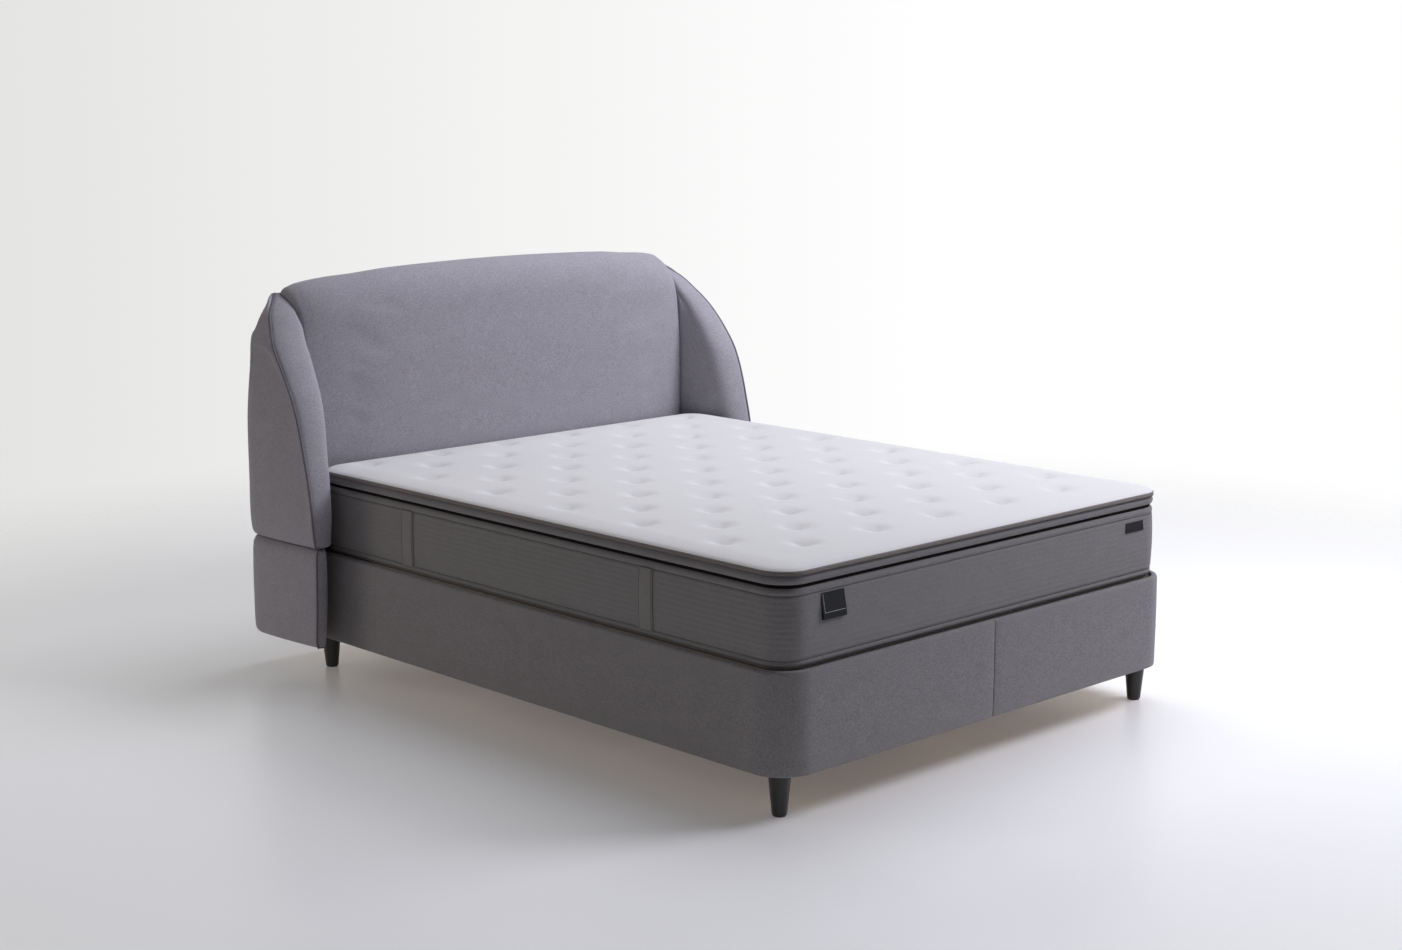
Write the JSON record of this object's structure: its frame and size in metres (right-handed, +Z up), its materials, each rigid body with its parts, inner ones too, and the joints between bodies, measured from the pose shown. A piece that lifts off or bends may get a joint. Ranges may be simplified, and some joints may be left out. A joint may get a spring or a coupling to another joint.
{
  "type": "storage bed",
  "caption": "Upholstered lift-up storage bed with a curved winged headboard and a tufted pillow-top mattress that rides on a gas-lift slatted platform.",
  "frame": {"origin": "on the floor, at the middle of the overall footprint", "axes": "+X across the bed, to the right seen from the foot end; +Y from the foot to the headboard; +Z up"},
  "size_m": [1.89, 2.22, 1.2322],
  "materials": {
    "base_fabric": "woven, matte",
    "headboard_fabric": "woven, matte",
    "piping_fabric": "woven, matte",
    "back_cloth": "non-woven, matte",
    "plywood": "raw",
    "hardboard": "raw",
    "timber": "raw",
    "dark_wood": "satin paint",
    "glide_plastic": "matte",
    "zinc_steel": "zinc plated",
    "black_steel": "powder coat",
    "rod_steel": "polished",
    "tube_paint": "powder coat",
    "slat_wood": "lacquered",
    "holder_plastic": "matte",
    "strap_webbing": "woven webbing",
    "border_fabric": "ribbed knit, matte",
    "gusset_fabric": "ribbed knit, matte",
    "tape_fabric": "woven tape",
    "pillow_fabric": "quilted knit, matte",
    "tuft_thread": "thread",
    "handle_webbing": "woven webbing",
    "label_fabric": "woven, bare",
    "foam": "open-cell foam",
    "spring_core": "pocketed core"
  },
  "bodies": {
    "base": {"base_bracket_screws": "zinc_steel", "base_corner_brackets": "zinc_steel", "base_cover_left": "base_fabric", "base_cover_right": "base_fabric", "base_floor_boards": "timber", "base_floor_panels": "hardboard", "base_foot_panels": "plywood", "base_head_panel": "plywood", "base_side_panels": "plywood", "centre_legs": "timber", "corner_legs": "dark_wood", "headboard_back_board": "hardboard", "headboard_back_cloth": "back_cloth", "headboard_bolts": "zinc_steel", "headboard_centre_cushion": "headboard_fabric", "headboard_front_board": "plywood", "headboard_rails": "timber", "headboard_uprights": "timber", "leg_glides": "glide_plastic", "leg_studs": "zinc_steel", "leg_tee_nuts": "zinc_steel", "lift_base_pins": "zinc_steel", "lift_base_plates": "black_steel", "lift_plate_screws": "zinc_steel", "wing_boards": "plywood", "wing_bolts": "zinc_steel", "wing_front_pad_lower_left": "headboard_fabric", "wing_front_pad_lower_right": "headboard_fabric", "wing_front_pad_upper_left": "headboard_fabric", "wing_front_pad_upper_right": "headboard_fabric", "wing_outer_pad_lower_left": "headboard_fabric", "wing_outer_pad_lower_right": "headboard_fabric", "wing_outer_pad_upper_left": "headboard_fabric", "wing_outer_pad_upper_right": "headboard_fabric", "wing_piping_left": "piping_fabric", "wing_piping_right": "piping_fabric"},
    "lift_arms": {"lift_main_arms": "black_steel"},
    "platform": {"mattress_base_foam": "foam", "mattress_border": "border_fabric", "mattress_bottom_cover": "border_fabric", "mattress_comfort_foam": "foam", "mattress_gusset": "gusset_fabric", "mattress_handles": "handle_webbing", "mattress_labels": "label_fabric", "mattress_pillow_top": "pillow_fabric", "mattress_spring_core": "spring_core", "mattress_tapes": "tape_fabric", "mattress_top_foam": "foam", "mattress_tufts": "tuft_thread", "platform_brackets": "black_steel", "platform_cross_tubes": "tube_paint", "platform_pins": "zinc_steel", "platform_pull_strap": "strap_webbing", "platform_side_tubes": "tube_paint", "platform_slat_holders": "holder_plastic", "platform_slats": "slat_wood"},
    "front_arms": {"lift_front_arms": "black_steel"},
    "gas_cylinders": {"lift_gas_cylinders": "black_steel"},
    "gas_rods": {"lift_gas_rods": "rod_steel"}
  },
  "joints": [
    {"name": "lift_arm_hinge", "type": "hinge", "parent": "base", "child": "lift_arms", "pos_m": [0, 0.37, 0.19], "axis": [1, 0, 0], "range_deg": [0, 92]},
    {"name": "platform_hinge", "type": "hinge", "parent": "lift_arms", "child": "platform", "pos_m": [0, 0.59517, 0.32], "axis": [1, 0, 0], "range_deg": [-125.1, 0]},
    {"name": "front_arm_hinge", "type": "hinge", "parent": "base", "child": "front_arms", "pos_m": [0, 0.28188, 0.17774], "axis": [1, 0, 0], "range_deg": [0, 88.5]},
    {"name": "gas_cylinder_hinge", "type": "hinge", "parent": "base", "child": "gas_cylinders", "pos_m": [0, 0.5837, 0.2166], "axis": [1, 0, 0], "range_deg": [0, 9.4]},
    {"name": "gas_rod_slide", "type": "slide", "parent": "gas_cylinders", "child": "gas_rods", "axis": [0, -0.9884, 0.152], "range_m": [0, 0.0801]}
  ],
  "couplings": [
    {"joint": "platform_hinge", "follows": "lift_arm_hinge", "ratio": -1.3587},
    {"joint": "front_arm_hinge", "follows": "lift_arm_hinge", "ratio": 0.96068},
    {"joint": "gas_cylinder_hinge", "follows": "lift_arm_hinge", "ratio": 0.10159},
    {"joint": "gas_rod_slide", "follows": "lift_arm_hinge", "m_per_rad": 0.049822}
  ]
}
